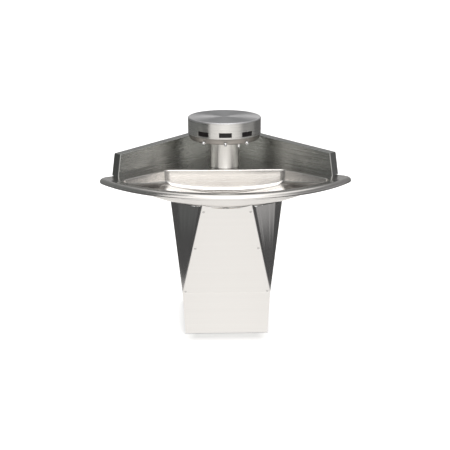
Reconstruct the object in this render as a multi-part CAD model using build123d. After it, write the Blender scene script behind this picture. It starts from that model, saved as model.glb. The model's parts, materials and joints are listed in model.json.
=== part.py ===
from build123d import *
import os
from math import cos, radians, sin, sqrt

# Corner wash fountain for two walls at 90 degrees.
# Frame: origin on the floor under the middle of the bowl, +Z up, users stand at -Y,
# the corner of the room is at +Y. Millimetres.

# ---- bowl
DECK_Z = 853.0            # top of the deck above the floor
DEPTH = 1072.0            # room corner to front of rim
CORNER_Y = DEPTH / 2      # the room corner
RIM_R = 820.0             # plan radius of the rolled front rim
RIM_Y = RIM_R - DEPTH / 2     # centre of the rim arc
RIM_H = 25.0              # from the deck down to the underside of the rolled edge
ROLL_R = 20.0             # upper radius of the rolled edge
ROLL_RISE = 4.0           # how far the roll stands above the deck
ROLL_WALL_GAP = 62.0      # where that rise ends, off each wall
RIM_TOP_ROUND = 14.0
RIM_LOW_ROUND = 8.0
TIP_ROUND = 45.0          # plan rounding of the two wing tips
SHEET = 2.5               # bowl sheet
LIP = 24.0                # width of the return under the rolled edge

# ---- basin
BASIN_BACK_Y = 30.0
BASIN_WALL_GAP = 128.0    # deck width between a wall and the basin's side edge
BASIN_FRONT_R = 752.0
BASIN_FRONT_LEAN = 0.70   # how far the front wall leans in per unit of depth
BASIN_FILLET = 8.0
BASIN_DEPTH = 128.0       # at the drain
BASIN_TIP_ROUND = 40.0
BASIN_BACK_ROUND = 45.0
DISH_R = 1400.0           # spherical floor
DRAIN_Y = -120.0
DRAIN_HOLE_R = 26.0

# ---- backsplash
SPLASH_T = 50.8
SPLASH_END_LOW = 875.0    # distance along the wall from the room corner
SPLASH_END_HIGH = 853.0
SPLASH_H_END = 120.0
SPLASH_H_CORNER = 161.0
SPLASH_SHEET = 2.0

# ---- sprayhead and column
HEAD_Y = 134.0
HEAD_R = 204.8
HEAD_LOW_R = 186.5        # bottom of the rounded lower ring
HEAD_SHEET = 2.0
HEAD_BASE_Z = DECK_Z + 157.5
HEAD_WALL_Z = DECK_Z + 191.5
HEAD_TOP_Z = DECK_Z + 282.5
HEAD_TOP_ROUND = 7.0
COLUMN_R = 82.4
COLUMN_SHEET = 2.0
STATION_ANGLE = 36.5      # degrees between stations
WINDOW_LOW = DECK_Z + 201.0
WINDOW_H = 26.0
WINDOW_ARC = 19.5         # degrees
STATIONS = {"left": -STATION_ANGLE, "centre": 0.0, "right": STATION_ANGLE}

# ---- pedestal
KICK_Y = -290.0
FLOOR_GAP = 4.0           # under the kick panel
FLOOR_HALF_W = 226.0
CREASE_Z = 241.0
CREASE_HALF_W = 239.0
TOP_REF_Z = 756.0         # reference height of the next three sizes
TOP_HALF_W = 295.0
PANEL_HALF_W = 131.0      # access panel's half width there
PANEL_Y = -398.0
PANEL_SHEET = 2.0
PANEL_TOP_Z = 800.0       # cut back to the underside of the basin
TOP_SCREW_Z = 730.0
MIDDLE_SCREW_Z = 515.0
FLANGE_W = 28.0           # screw flange behind the access panel
PEDESTAL_REACH = 400.0    # half width of the blank that the pedestal is cut from

# ---- frame and plumbing
TUBE = 25.0               # square tube of the pedestal frame
POST_X = 205.0
POST_Y = 190.0
BASE_FRONT_Y = -270.0
ANCHOR_X = 180.0
ANCHOR_Y_FRONT = -240.0
ANCHOR_Y_REAR = 160.0
ANCHOR_HOLE_R = 5.5
PLATE_T = 3.0             # equipment plate on the front of the frame's upper rail
VALVE_Y = 150.0
MANIFOLD_Z = 600.0
VALVE_XS = {"left": -60.0, "centre": 0.0, "right": 60.0}
MIXER_X = -70.0
MIXER_Z = 530.0
STOP_Z = 260.0
STOP_LENGTH = 96.0
STOP_STEM = 58.0          # off the wall
HOSE_BEND = 56.0          # four diameters of the braided hose
WASTE_Z = 450.0
WASTE_R = 20.0
WASTE_TURN_Y = 90.0

ROOT2 = sqrt(2.0)


def save(name, shape):
    export_step(shape, f"parts/{name}.step")


def rod(start, end, radius, bore=0.0):
    """Round bar or tube from one point to another."""
    a, b = Vector(*start), Vector(*end)
    plane = Plane(origin=a, z_dir=(b - a).normalized())
    solid = extrude(plane * Circle(radius), amount=(b - a).length)
    if bore:
        solid -= extrude(plane * Circle(bore), amount=(b - a).length)
    return solid


def bent_tube(points, bend, radius, bore):
    """Tube along straight runs joined by tangent arcs."""
    path = FilletPolyline(*points, radius=bend)
    start = Plane(origin=path @ 0, z_dir=path % 0)
    return sweep(start * (Circle(radius) - Circle(bore)), path=path)


def brick(low, high):
    size = [h - l for l, h in zip(low, high)]
    mid = [(h + l) / 2 for l, h in zip(low, high)]
    return Pos(*mid) * Box(*size)


def half_space(points, inside, inset=0.0):
    """Plane through three points whose normal points away from inside, moved inwards."""
    a, b, c = (Vector(*p) for p in points)
    normal = (b - a).cross(c - a).normalized()
    if (Vector(*inside) - a).dot(normal) > 0:
        normal = -normal
    return Plane(origin=a - normal * inset, z_dir=normal)


def cut_to(solid, planes):
    """Keep what lies behind every plane."""
    for plane in planes:
        solid = split(solid, bisect_by=plane, keep=Keep.BOTTOM)
    return solid


def head_point(angle, radius, z):
    """Point about the column's axis; angle 0 faces the user, positive to the right."""
    a = radians(angle)
    return (radius * sin(a), HEAD_Y - radius * cos(a), z)


def wall_point(side, along, off, z):
    """Point measured along a wall from the room corner and off its face; side is -1 or 1."""
    return (side * (along - off) / ROOT2, CORNER_Y - (along + off) / ROOT2, z)


def wall_plane(side, along, z):
    """Plane on a wall with its normal into the room and its x direction away from the corner."""
    origin = wall_point(side, along, 0.0, z)
    away = (side / ROOT2, -1 / ROOT2, 0)
    into = (-side / ROOT2, -1 / ROOT2, 0)
    return Plane(origin=origin, x_dir=away, z_dir=into)


# ------------------------------------------------------------------ bowl

def sector(radius, wall_gap, tip_round, back_y=None, back_round=0.0):
    """Plan outline: two lines parallel to the walls and the front arc, corners rounded."""
    apex_y = CORNER_Y - wall_gap * ROOT2
    drop = apex_y - RIM_Y
    tip_x = (drop + sqrt(2 * radius**2 - drop**2)) / 2
    tip_y = apex_y - tip_x
    front = ThreePointArc((-tip_x, tip_y), (0, RIM_Y - radius), (tip_x, tip_y))
    if back_y is None:
        lines = [Line((tip_x, tip_y), (0, apex_y)), Line((0, apex_y), (-tip_x, tip_y))]
    else:
        back_x = apex_y - back_y
        lines = [Line((tip_x, tip_y), (back_x, back_y)),
                 Line((back_x, back_y), (-back_x, back_y)),
                 Line((-back_x, back_y), (-tip_x, tip_y))]
    face = make_face([front] + lines)
    tips = [v for v in face.vertices() if abs(abs(v.X) - tip_x) < 1]
    face = fillet(tips, tip_round)
    if back_y is not None:
        backs = [v for v in face.vertices() if abs(v.Y - back_y) < 1 and abs(abs(v.X) - back_x) < 1]
        face = fillet(backs, back_round)
    return face


def slab(inset, top, bottom, top_round, low_round):
    """Deck-shaped block with rounded top and bottom edges."""
    outline = sector(RIM_R - inset, inset, TIP_ROUND - inset)
    block = extrude(Pos(0, 0, bottom) * outline, amount=top - bottom)
    block = fillet(block.faces().sort_by(Axis.Z)[-1].edges(), top_round)
    return fillet(block.faces().sort_by(Axis.Z)[0].edges(), low_round)


def basin_volume(grow, top):
    """Water space of the basin, grown all round for the outside of the sheet."""
    outline = sector(BASIN_FRONT_R + grow, BASIN_WALL_GAP - grow, BASIN_TIP_ROUND + grow,
                     BASIN_BACK_Y + grow, BASIN_BACK_ROUND + grow)
    depth = BASIN_DEPTH + grow + 5
    prism = extrude(Pos(0, 0, DECK_Z) * outline, amount=-depth)
    dish = Pos(0, DRAIN_Y, DECK_Z - BASIN_DEPTH + DISH_R) * Sphere(DISH_R + grow)
    slope_r = BASIN_FRONT_R + grow * sqrt(1 + BASIN_FRONT_LEAN**2)
    lean = BASIN_FRONT_LEAN * depth
    cone = Pos(0, RIM_Y, DECK_Z - depth / 2) * Cone(slope_r - lean, slope_r, depth)
    volume = prism & dish & cone
    low = [e for e in volume.edges() if e.center().Z < DECK_Z - 5]
    volume = fillet(low, BASIN_FILLET)
    if top > DECK_Z:
        volume += extrude(Pos(0, 0, DECK_Z) * outline, amount=top - DECK_Z)
    return volume


def raised_roll(radius, wall_gap):
    """Upper half of the rolled edge along the front arc, kept clear of the walls."""
    middle = DECK_Z + ROLL_RISE - ROLL_R
    ring = Pos(0, RIM_Y, middle) * Torus(RIM_R - ROLL_R, radius)
    ring &= brick((-DEPTH, -DEPTH, middle), (DEPTH, CORNER_Y, middle + 2 * ROLL_R))
    return cut_to(ring, wall_limits(wall_gap))


def make_bowl():
    low = DECK_Z - RIM_H
    skin = slab(0.0, DECK_Z, low, RIM_TOP_ROUND, RIM_LOW_ROUND)
    skin -= slab(SHEET, DECK_Z - SHEET, low + SHEET, RIM_TOP_ROUND - SHEET, RIM_LOW_ROUND - SHEET)
    hollow = raised_roll(ROLL_R - SHEET, ROLL_WALL_GAP + SHEET)
    skin = skin - hollow + (raised_roll(ROLL_R, ROLL_WALL_GAP) - hollow)
    mouth = sector(RIM_R - LIP, LIP, TIP_ROUND)
    skin -= extrude(Pos(0, 0, low - 1) * mouth, amount=SHEET + 2)
    skin += basin_volume(SHEET, DECK_Z)
    skin -= basin_volume(0.0, DECK_Z + 5)
    skin -= rod((0, DRAIN_Y, DECK_Z - BASIN_DEPTH - 20), (0, DRAIN_Y, DECK_Z - 90), DRAIN_HOLE_R)
    skin -= rod((0, HEAD_Y, DECK_Z - 10), (0, HEAD_Y, DECK_Z + 10), 58.0)
    for x, y in stud_places():
        skin -= rod((x, y, DECK_Z - 10), (x, y, DECK_Z + 10), 4.5)
    return skin


def stud_places():
    return [head_point(45 + 90 * i, 68.0, 0)[:2] for i in range(4)]


# ------------------------------------------------------------------ backsplash

def make_backsplash(side):
    """Boxed upstand along one wall, mitred at the corner, open to the wall and the deck."""
    slope = (SPLASH_H_CORNER - SPLASH_H_END) / (SPLASH_END_HIGH - SPLASH_T)
    rise = SPLASH_H_CORNER + slope * SPLASH_T
    base = wall_plane(side, 0.0, DECK_Z)
    up = 1 if base.y_dir.Z > 0 else -1

    def profile(inset, drop):
        points = [(0, -drop), (SPLASH_END_LOW - inset, -drop),
                  (SPLASH_END_HIGH - inset, SPLASH_H_END - inset), (0, rise - inset)]
        return base * make_face(Polyline(*[(s, z * up) for s, z in points], close=True))

    outer = extrude(profile(0.0, 0.0), amount=SPLASH_T)
    inner = extrude(profile(SPLASH_SHEET, 5.0), amount=SPLASH_T - SPLASH_SHEET)
    inner += extrude(profile(SPLASH_SHEET, 5.0), amount=-5)
    mitre = Plane(origin=(0, 0, 0), z_dir=(-side, 0, 0))
    return cut_to(outer - inner, [mitre])


def make_wall_bracket(side):
    """Angle under a wing, screwed to the wall, that the rolled edge rests on."""
    low = DECK_Z - RIM_H
    leg, shelf, thick = 62.0, 48.0, 3.0
    start, end = 500.0, 820.0
    base = wall_plane(side, (start + end) / 2, low - leg / 2)
    upright = extrude(base * Rectangle(end - start, leg), amount=thick)
    top = wall_plane(side, (start + end) / 2, low - thick / 2)
    angle = upright + extrude(top * Rectangle(end - start, thick), amount=shelf)
    for along in (start + 40, end - 40):
        hole_plane = wall_plane(side, along, low - leg / 2)
        angle -= extrude(hole_plane * Circle(ANCHOR_HOLE_R), amount=thick)
    return angle


# ------------------------------------------------------------------ sprayhead

def head_ring_profile(inset):
    """Half section of the head's lower ring, from the column out to the wall's foot."""
    hub = COLUMN_R - COLUMN_SHEET
    low, high = HEAD_BASE_Z + inset, HEAD_WALL_Z
    outer = HEAD_R - inset
    foot = HEAD_LOW_R - inset * 0.6
    arc = ThreePointArc((foot, low), (outer - 4.5, low + (high - low) * 0.42), (outer, high))
    sides = [Line((outer, high), (hub - inset, high)), Line((hub - inset, high), (hub - inset, low)),
             Line((hub - inset, low), (foot, low))]
    return make_face([arc] + sides)


def spin(face):
    """Revolve a half section drawn as (radius, height) about the column's axis."""
    plane = Plane(origin=(0, HEAD_Y, 0), x_dir=(1, 0, 0), z_dir=(0, -1, 0))
    return revolve(plane * face, axis=Axis((0, HEAD_Y, 0), (0, 0, 1)))


def nozzle_axis(angle):
    """Where a nozzle leaves the lower ring, and the direction in which it points."""
    tilt = radians(42)
    a = radians(angle)
    direction = Vector(sin(a) * cos(tilt), -cos(a) * cos(tilt), -sin(tilt))
    return Vector(*head_point(angle, 196.0, HEAD_BASE_Z + 9.5)), direction


def make_head_base():
    ring = spin(head_ring_profile(0.0)) - spin(head_ring_profile(HEAD_SHEET))
    hub_r = COLUMN_R - COLUMN_SHEET
    ring -= rod((0, HEAD_Y, HEAD_BASE_Z - 5), (0, HEAD_Y, HEAD_BASE_Z + 5), hub_r - 14)
    for angle in STATIONS.values():
        point, direction = nozzle_axis(angle)
        ring -= rod(point - direction * 16, point + direction * 10, 6.2)
    x, y, _ = soap_place()
    return ring - rod((x, y, HEAD_BASE_Z - 5), (x, y, HEAD_BASE_Z + 8), 6.2)


def soap_place():
    return head_point(25.0, 176.0, HEAD_BASE_Z)


def window_block(angle, inner, outer, margin):
    """Curved block of a sensor window's outline between two radii."""
    half = radians(WINDOW_ARC / 2) + margin / HEAD_R
    z = WINDOW_LOW - margin
    tall = WINDOW_H + 2 * margin
    ring = rod((0, HEAD_Y, z), (0, HEAD_Y, z + tall), outer, inner)
    mid = head_point(angle, HEAD_R, 0)
    facing = Vector(mid[0], mid[1] - HEAD_Y, 0).normalized()
    across = Vector(-facing.Y, facing.X, 0)
    reach = HEAD_R * 2
    centre = Vector(0, HEAD_Y, 0)
    side_a = centre + facing * reach * cos(half) + across * reach * sin(half)
    side_b = centre + facing * reach * cos(half) - across * reach * sin(half)
    wedge = make_face(Polyline(centre, side_a, side_b, close=True))
    return ring & extrude(Pos(0, 0, z) * wedge, amount=tall, dir=(0, 0, 1))


def make_head_shell():
    """Drum wall with a window opening for each station and a ledge for the lid."""
    top = HEAD_TOP_Z - HEAD_TOP_ROUND
    inner = HEAD_R - HEAD_SHEET
    shell = rod((0, HEAD_Y, HEAD_WALL_Z), (0, HEAD_Y, top), HEAD_R, inner)
    shell += rod((0, HEAD_Y, top - HEAD_SHEET), (0, HEAD_Y, top), inner, inner - 14.0)
    for angle in STATIONS.values():
        shell -= window_block(angle, HEAD_R - 6, HEAD_R + 6, 0.0)
    return shell


def make_head_lid():
    """Round-edged cover that closes the drum, with a locating skirt inside the ledge."""
    seat = HEAD_TOP_Z - HEAD_TOP_ROUND + 0.2
    lid = rod((0, HEAD_Y, seat), (0, HEAD_Y, HEAD_TOP_Z), HEAD_R)
    lid = fillet(lid.faces().sort_by(Axis.Z)[-1].edges(), HEAD_TOP_ROUND - 0.8)
    lid -= rod((0, HEAD_Y, seat - 1), (0, HEAD_Y, HEAD_TOP_Z - HEAD_SHEET), HEAD_R - 10.0)
    skirt = HEAD_R - HEAD_SHEET - 14.6
    return lid + rod((0, HEAD_Y, seat - 12), (0, HEAD_Y, HEAD_TOP_Z - HEAD_SHEET),
                     skirt, skirt - HEAD_SHEET)


def make_window(angle):
    """Dark lens that fills its opening and a flange behind it."""
    lens = window_block(angle, HEAD_R - HEAD_SHEET, HEAD_R - 0.4, -0.3)
    return lens + window_block(angle, HEAD_R - HEAD_SHEET - 3.0, HEAD_R - HEAD_SHEET, 4.0)


def make_sensor(angle):
    """Infrared eye and its circuit in a small box behind a window."""
    back = HEAD_R - HEAD_SHEET - 3.6
    facing = Vector(*head_point(angle, 1.0, 0)) - Vector(0, HEAD_Y, 0)
    centre = Vector(*head_point(angle, back - 26.0, WINDOW_LOW + WINDOW_H / 2))
    base = Plane(origin=centre, x_dir=(-facing.Y, facing.X, 0), z_dir=facing)
    case = extrude(base * RectangleRounded(54, 24, 3), amount=14)
    for dx in (-13.0, 13.0):
        case += extrude(base.offset(14) * Pos(dx, 0) * Circle(6.0), amount=7)
    return case


def make_nozzle(angle):
    """Spray outlet with a collar against the ring and a stem through it."""
    point, direction = nozzle_axis(angle)
    stem = rod(point - direction * 22, point + direction * 2, 6.0, 3.0)
    collar = rod(point + direction * 1.2, point + direction * 4.5, 10.5, 3.0)
    tip = rod(point + direction * 4.5, point + direction * 13.0, 8.5, 6.8)
    return stem + collar + tip


def make_aerator(angle):
    """Perforated insert in the nozzle's mouth."""
    point, direction = nozzle_axis(angle)
    disc = rod(point + direction * 8.0, point + direction * 12.4, 6.8)
    base = Plane(origin=point + direction * 7.0, z_dir=direction)
    holes = [base * Pos(0, 0)] + [base.rotated((0, 0, 60 * i)) * Pos(4.0, 0) for i in range(6)]
    for place in holes:
        disc -= extrude(place * Circle(0.9), amount=8)
    return disc


def make_soap_spout():
    x, y, z = soap_place()
    spout = rod((x, y, z - 4), (x, y, z), 11.0)
    spout += rod((x, y, z - 17), (x, y, z - 4), 7.5)
    spout += rod((x, y, z), (x, y, z + 22), 6.0)
    return spout - rod((x, y, z - 17), (x, y, z + 22), 3.0)


def make_column():
    tube = rod((0, HEAD_Y, DECK_Z), (0, HEAD_Y, HEAD_BASE_Z), COLUMN_R, COLUMN_R - COLUMN_SHEET)
    tube += rod((0, HEAD_Y, DECK_Z), (0, HEAD_Y, DECK_Z + 5), COLUMN_R - COLUMN_SHEET, 56.0)
    tube += rod((0, HEAD_Y, HEAD_BASE_Z - 5), (0, HEAD_Y, HEAD_BASE_Z), COLUMN_R - COLUMN_SHEET, 66.0)
    for x, y in stud_places():
        tube -= rod((x, y, DECK_Z - 2), (x, y, DECK_Z + 8), 3.0)
    return tube


def make_column_studs():
    """Threaded studs of the column's foot, each with its nut under the clamp ring."""
    group = []
    for x, y in stud_places():
        stud = rod((x, y, DECK_Z), (x, y, DECK_Z + 5), 3.0) + rod((x, y, DECK_Z - 26), (x, y, DECK_Z), 3.0)
        nut = extrude(Pos(x, y, DECK_Z - 20) * RegularPolygon(7.0, 6), amount=7)
        group.append(stud + nut)
    return Compound(children=group)


def make_clamp_ring():
    ring = rod((0, HEAD_Y, DECK_Z - SHEET - 9), (0, HEAD_Y, DECK_Z - SHEET), 84.0, 58.0)
    for x, y in stud_places():
        ring -= rod((x, y, DECK_Z - 20), (x, y, DECK_Z), 3.6)
    return ring


def spray_route(angle):
    """Tube from a solenoid valve up the column and out to its nozzle."""
    index = 0 if angle == 0 else (1 if angle > 0 else -1)
    x = 60.0 * index
    up_x, up_y = 36.0 * index, HEAD_Y if index else VALVE_Y
    high = HEAD_BASE_Z + 46.0
    inlet, direction = nozzle_axis(angle)
    end = inlet - direction * 22
    knee = end - direction * ((high - end.Z) / -direction.Z)
    return [(x, VALVE_Y, 650), (x, VALVE_Y, 712), (up_x, up_y, 800), (up_x, up_y, high),
            (knee.X, knee.Y, knee.Z), (end.X, end.Y, end.Z)]


def make_spray_tube(angle):
    points = spray_route(angle)
    if angle == 0:
        points = points[:1] + points[3:]
    return bent_tube(points, 9.0, 5.0, 3.6)


# ------------------------------------------------------------------ pedestal

def upper_planes(inset, front_inset, facet_inset):
    inside = (0, -50, 500)
    crease, top = CREASE_HALF_W, TOP_HALF_W
    planes = [half_space([(-crease, KICK_Y, CREASE_Z), (crease, KICK_Y, CREASE_Z),
                          (PANEL_HALF_W, PANEL_Y, TOP_REF_Z)], inside, front_inset)]
    for side in (-1, 1):
        foot = (side * crease, KICK_Y, CREASE_Z)
        corner = (side * top, KICK_Y, TOP_REF_Z)
        planes.append(half_space([foot, corner, (side * PANEL_HALF_W, PANEL_Y, TOP_REF_Z)],
                                 inside, facet_inset))
        planes.append(half_space([foot, corner, (side * crease, 0, CREASE_Z)], inside, inset))
    return planes


def lower_planes(inset, front_inset):
    inside = (0, -50, 100)
    planes = [half_space([(-100, KICK_Y, 0), (100, KICK_Y, 0), (0, KICK_Y, 100)],
                         inside, front_inset)]
    for side in (-1, 1):
        planes.append(half_space([(side * FLOOR_HALF_W, 0, 0), (side * FLOOR_HALF_W, 100, 0),
                                  (side * CREASE_HALF_W, 0, CREASE_Z)], inside, inset))
    return planes


def wall_limits(inset):
    return [half_space([wall_point(side, 0, 0, 0), wall_point(side, 100, 0, 0),
                        wall_point(side, 100, 0, 100)], (0, -50, 50), inset)
            for side in (-1, 1)]


def upper_body(inset=0.0, front=0.0, facet=0.0, wall=0.0):
    blank = brick((-PEDESTAL_REACH, -DEPTH, CREASE_Z), (PEDESTAL_REACH, DEPTH, DECK_Z - SHEET))
    return cut_to(blank, upper_planes(inset, front, facet) + wall_limits(wall))


def lower_body(inset=0.0, front=0.0, wall=0.0):
    blank = brick((-PEDESTAL_REACH, -DEPTH, 0), (PEDESTAL_REACH, DEPTH, CREASE_Z))
    return cut_to(blank, lower_planes(inset, front) + wall_limits(wall))


def front_zone(low, high):
    """Front half of the pedestal between two heights."""
    return brick((-PEDESTAL_REACH, -DEPTH, low), (PEDESTAL_REACH, 0, high))


def screw_places():
    """Screw points on the access panel's face, three up each side edge."""
    face = upper_planes(0, 0, 0)[0]
    places = []
    for side in (-1, 1):
        for z in (CREASE_Z + 10.0, MIDDLE_SCREW_Z, TOP_SCREW_Z):
            share = (z - CREASE_Z) / (TOP_REF_Z - CREASE_Z)
            x = CREASE_HALF_W + share * (PANEL_HALF_W - CREASE_HALF_W) - 14.0
            y = KICK_Y + share * (PANEL_Y - KICK_Y)
            places.append(Plane(origin=(side * x, y, z), z_dir=face.z_dir))
    return places


def make_access_panel():
    panel = upper_body() - upper_body(front=PANEL_SHEET, inset=-5, facet=-5, wall=-90)
    panel &= front_zone(CREASE_Z, PANEL_TOP_Z)
    panel -= basin_volume(SHEET, DECK_Z)
    for place in screw_places():
        panel -= extrude(place.offset(-10) * Circle(2.8), amount=20)
    return panel.solids().sort_by(SortBy.VOLUME)[-1]


def make_kick_panel():
    panel = lower_body() - lower_body(front=PANEL_SHEET, inset=-5, wall=-90)
    return panel & front_zone(FLOOR_GAP, CREASE_Z)


def make_side_panel(side):
    sheet, behind = PANEL_SHEET, -90
    upper = upper_body(front=sheet) - upper_body(inset=sheet, front=-5, facet=sheet, wall=behind)
    lower = lower_body(front=sheet) - lower_body(inset=sheet, front=-5, wall=behind)
    flange = upper_body(front=sheet) - upper_body(front=2 * sheet, inset=-5, facet=-5, wall=behind)
    flange -= upper_body(front=-5, facet=FLANGE_W, inset=-5, wall=behind)
    flange &= front_zone(CREASE_Z, PANEL_TOP_Z)
    panel = upper + lower + flange
    panel -= basin_volume(SHEET, DECK_Z)
    ends = sorted((0.0, side * PEDESTAL_REACH))
    panel &= brick((ends[0], -DEPTH, 0), (ends[1], CORNER_Y, DECK_Z))
    panel -= slab_edge(DECK_Z - RIM_H)
    for place in screw_places():
        panel -= extrude(place.offset(-10) * Circle(2.8), amount=20)
    return panel


def slab_edge(low):
    """The rolled edge's own volume, which the side panels stop short of."""
    block = extrude(Pos(0, 0, low) * sector(RIM_R, 0.0, TIP_ROUND), amount=RIM_H)
    return block - extrude(Pos(0, 0, low - 1) * sector(RIM_R - LIP, LIP, TIP_ROUND), amount=RIM_H + 2)


def make_panel_screws():
    group = []
    for place in screw_places():
        head = extrude(place * Circle(6.0), amount=2.6)
        outward = Axis(place.origin, place.z_dir)
        head = fillet(head.faces().sort_by(outward)[-1].edges(), 1.6)
        shank = extrude(place.offset(-14) * Circle(2.4), amount=14)
        slot = extrude(place.offset(1.4) * RegularPolygon(1.9, 6), amount=2)
        group.append(head + shank - slot)
    return Compound(children=group)


def make_panel_nuts():
    """Clinch nuts on the back of the screw flange."""
    group = []
    for place in screw_places():
        ring = place.offset(-2 * PANEL_SHEET - 5.0)
        group.append(extrude(ring * (Circle(4.6) - Circle(2.5)), amount=5.0))
    return Compound(children=group)


def make_frame():
    """Welded square-tube frame under the bowl, with floor plates."""
    half = TUBE / 2
    rear = POST_Y
    frame = brick((-POST_X - half, BASE_FRONT_Y - half, 6), (POST_X + half, BASE_FRONT_Y + half, 6 + TUBE))
    frame += brick((-POST_X - half, rear - half, 6), (POST_X + half, rear + half, 6 + TUBE))
    for side in (-1, 1):
        x = side * POST_X
        frame += brick((x - half, BASE_FRONT_Y, 6), (x + half, rear, 6 + TUBE))
        frame += brick((x - half, rear - half, 6), (x + half, rear + half, DECK_Z - SHEET))
        for y in (ANCHOR_Y_FRONT, ANCHOR_Y_REAR):
            foot = brick((side * ANCHOR_X - 38, y - 42, 0), (side * ANCHOR_X + 38, y + 42, 6))
            foot -= rod((side * ANCHOR_X, y, 0), (side * ANCHOR_X, y, 6), ANCHOR_HOLE_R)
            frame += foot
    frame += brick((-POST_X, rear - half, 700), (POST_X, rear + half, 700 + TUBE))
    return frame


def plate_face():
    return POST_Y - TUBE / 2 - PLATE_T


def make_equipment_plate():
    face = plate_face()
    return brick((-170, face, 470), (170, face + PLATE_T, 725))


# ------------------------------------------------------------------ water

def make_drain_body():
    z = DECK_Z - BASIN_DEPTH
    body = rod((0, DRAIN_Y, z - 48), (0, DRAIN_Y, z + 1), 25.0, 21.0)
    flange = rod((0, DRAIN_Y, z + 1.0), (0, DRAIN_Y, z + 5.0), 46.0, 21.0)
    flange -= rod((0, DRAIN_Y, z + 2.4), (0, DRAIN_Y, z + 6.0), 38.0)
    return body + flange


def make_strainer():
    z = DECK_Z - BASIN_DEPTH + 2.7
    disc = rod((0, DRAIN_Y, z), (0, DRAIN_Y, z + 2.0), 37.4)
    for ring_r, count in ((8.0, 6), (17.0, 12), (26.5, 18)):
        for i in range(count):
            a = radians(360 / count * i)
            x, y = ring_r * cos(a), DRAIN_Y + ring_r * sin(a)
            disc -= rod((x, y, z - 1), (x, y, z + 3), 2.6)
    return disc


def make_drain_nut():
    z = DECK_Z - BASIN_DEPTH - SHEET
    nut = extrude(Pos(0, DRAIN_Y, z - 19) * RegularPolygon(38.0, 6), amount=15)
    return nut - rod((0, DRAIN_Y, z - 30), (0, DRAIN_Y, z), 25.0)


def make_drain_gasket():
    z = DECK_Z - BASIN_DEPTH - SHEET
    return rod((0, DRAIN_Y, z - 4), (0, DRAIN_Y, z - 0.2), 36.0, 25.0)


def make_tailpiece():
    z = DECK_Z - BASIN_DEPTH
    return rod((0, DRAIN_Y, 440), (0, DRAIN_Y, z - 30), 19.0, 17.4)


def make_trap_bend():
    span = 90.0
    points = [(0, DRAIN_Y, 462), (0, DRAIN_Y, 320), (0, DRAIN_Y + span, 320), (0, DRAIN_Y + span, 400)]
    return bent_tube(points, span / 2 - 0.1, WASTE_R + 1.0, WASTE_R - 0.8)


def waste_end():
    """Where the trap arm meets the right wall square on."""
    travel = (CORNER_Y - WASTE_TURN_Y) / 2
    return travel, WASTE_TURN_Y + travel


def make_trap_arm():
    x, y = waste_end()
    points = [(0, DRAIN_Y + 90, 400), (0, DRAIN_Y + 90, WASTE_Z), (0, WASTE_TURN_Y, WASTE_Z), (x, y, WASTE_Z)]
    return bent_tube(points, 32.0, WASTE_R - 1.0, WASTE_R - 2.6)


def make_slip_nuts():
    y = DRAIN_Y + 90
    upper = rod((0, DRAIN_Y, 448), (0, DRAIN_Y, 472), 28.0, WASTE_R + 1.0)
    lower = rod((0, y, 388), (0, y, 412), 28.0, WASTE_R + 1.0)
    return Compound(children=[upper, lower])


def wall_collar(point, direction, radius, bore):
    start = Vector(*point)
    return rod(start, start + direction * 3, radius, bore) + \
        rod(start + direction * 3, start + direction * 10, radius * 0.62, bore)


def make_wall_collars():
    into_left = Vector(1, -1, 0).normalized()
    into_right = Vector(-1, -1, 0).normalized()
    x, y = waste_end()
    group = [wall_collar((x, y, WASTE_Z), into_right, 38.0, WASTE_R - 1.0)]
    for along in stop_places().values():
        group.append(wall_collar(wall_point(-1, along, 0, STOP_Z), into_left, 27.0, 8.0))
    return Compound(children=group)


def stop_places():
    return {"hot": 270.0, "cold": 150.0}


def make_stop_valve(along):
    """Quarter-turn stop on a pipe stub that comes square out of the left wall."""
    into = Vector(1, -1, 0).normalized()
    start = Vector(*wall_point(-1, along, 0, STOP_Z))
    valve = rod(start, start + into * 34, 8.0)
    valve += rod(start + into * 34, start + into * 82, 14.0)
    valve += rod(start + into * 82, start + into * STOP_LENGTH, 10.0)
    stem = start + into * STOP_STEM
    valve += rod(stem, stem + Vector(0, 0, 24), 7.0)
    return valve - rod(start, start + into * STOP_LENGTH, 6.0)


def make_stop_handle(along):
    """Lever over the stop's stem."""
    into = Vector(1, -1, 0).normalized()
    stem = Vector(*wall_point(-1, along, STOP_STEM, STOP_Z)) + Vector(0, 0, 24.4)
    hub = rod(stem, stem + Vector(0, 0, 12), 10.0)
    centre = stem + into * 24 + Vector(0, 0, 8)
    lever = extrude(Plane(origin=centre, x_dir=into, z_dir=(0, 0, 1)) * SlotOverall(56, 15), amount=4)
    return hub + lever


def make_supply_hose(name):
    into = Vector(1, -1, 0).normalized()
    start = Vector(*wall_point(-1, stop_places()[name], STOP_LENGTH, STOP_Z))
    x = MIXER_X + (-40 if name == "hot" else 40)
    run = 60 if name == "hot" else 90
    knee = start + into * run
    points = [start, knee, Vector(x, VALVE_Y, 330), Vector(x, VALVE_Y, MIXER_Z - 42)]
    return bent_tube(points, HOSE_BEND, 7.0, 5.0)


def make_mixing_valve():
    """Thermostatic mixer: hot and cold come in below, mixed water leaves above."""
    body = rod((MIXER_X - 60, VALVE_Y, MIXER_Z), (MIXER_X + 60, VALVE_Y, MIXER_Z), 21.0)
    for x in (MIXER_X - 40, MIXER_X + 40):
        body += rod((x, VALVE_Y, MIXER_Z - 42), (x, VALVE_Y, MIXER_Z), 11.0)
    body += rod((MIXER_X, VALVE_Y, MIXER_Z), (MIXER_X, VALVE_Y, MANIFOLD_Z - 12), 11.0)
    body += rod((MIXER_X, VALVE_Y - 30, MIXER_Z), (MIXER_X, VALVE_Y, MIXER_Z), 17.0)
    return body + rod((MIXER_X, VALVE_Y - 44, MIXER_Z), (MIXER_X, VALVE_Y, MIXER_Z), 5.0)


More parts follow.
